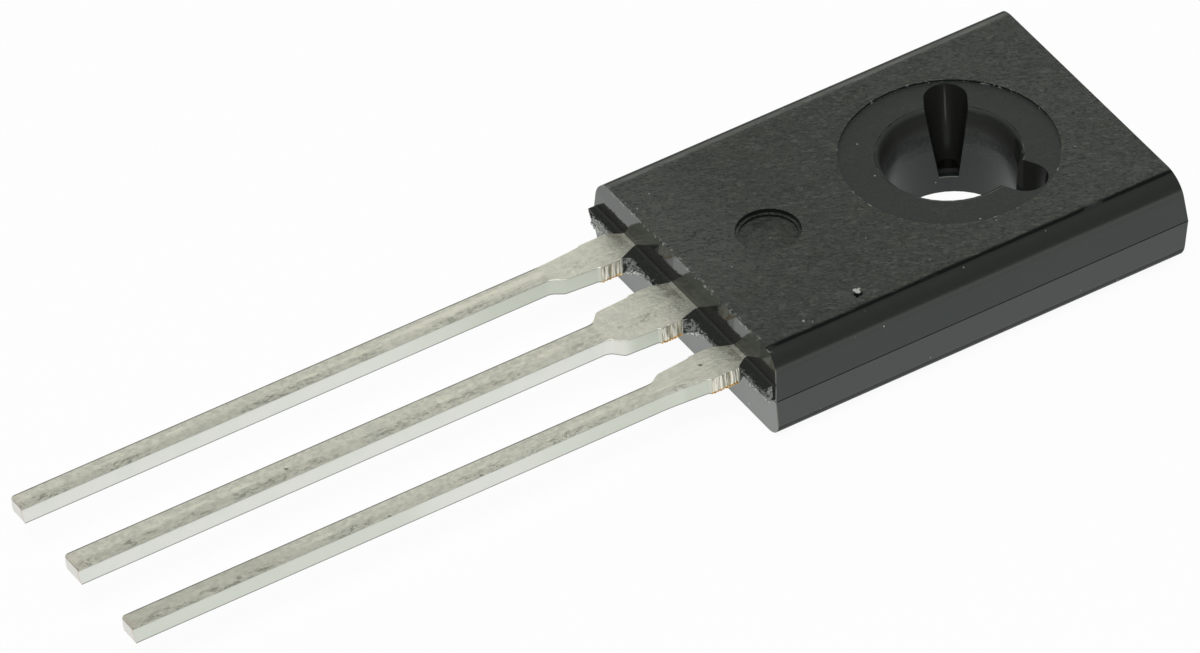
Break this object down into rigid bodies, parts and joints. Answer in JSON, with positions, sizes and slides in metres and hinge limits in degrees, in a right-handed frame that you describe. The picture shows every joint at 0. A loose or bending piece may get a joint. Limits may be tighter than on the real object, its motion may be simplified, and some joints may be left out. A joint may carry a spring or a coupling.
{
  "type": "npn transistor",
  "caption": "Flat-backed plastic power transistor: drafted black body with a screw hole and washer seat, bare metal back plate, flat tinned leads in a row.",
  "frame": {"origin": "on the mounting hole's axis, at the flat metal back", "axes": "+Y along the body away from the leads, +X from the emitter side to the base side, +Z out of the top face"},
  "size_m": [0.0076, 0.0265, 0.0024],
  "materials": {
    "epoxy": "black moulding epoxy, fine spark texture on top, polished on the ends",
    "tinned_copper": "satin matt tin over copper",
    "silicon": "polished",
    "solder": "dull",
    "wire": "bright drawn wire"
  },
  "bodies": {
    "root": {"moulded_body": "epoxy", "emitter_lead": "tinned_copper", "collector_lead": "tinned_copper", "base_lead": "tinned_copper", "silicon_die": "silicon", "die_attach_solder": "solder", "emitter_bond_wire": "wire", "base_bond_wire": "wire"}
  },
  "joints": []
}
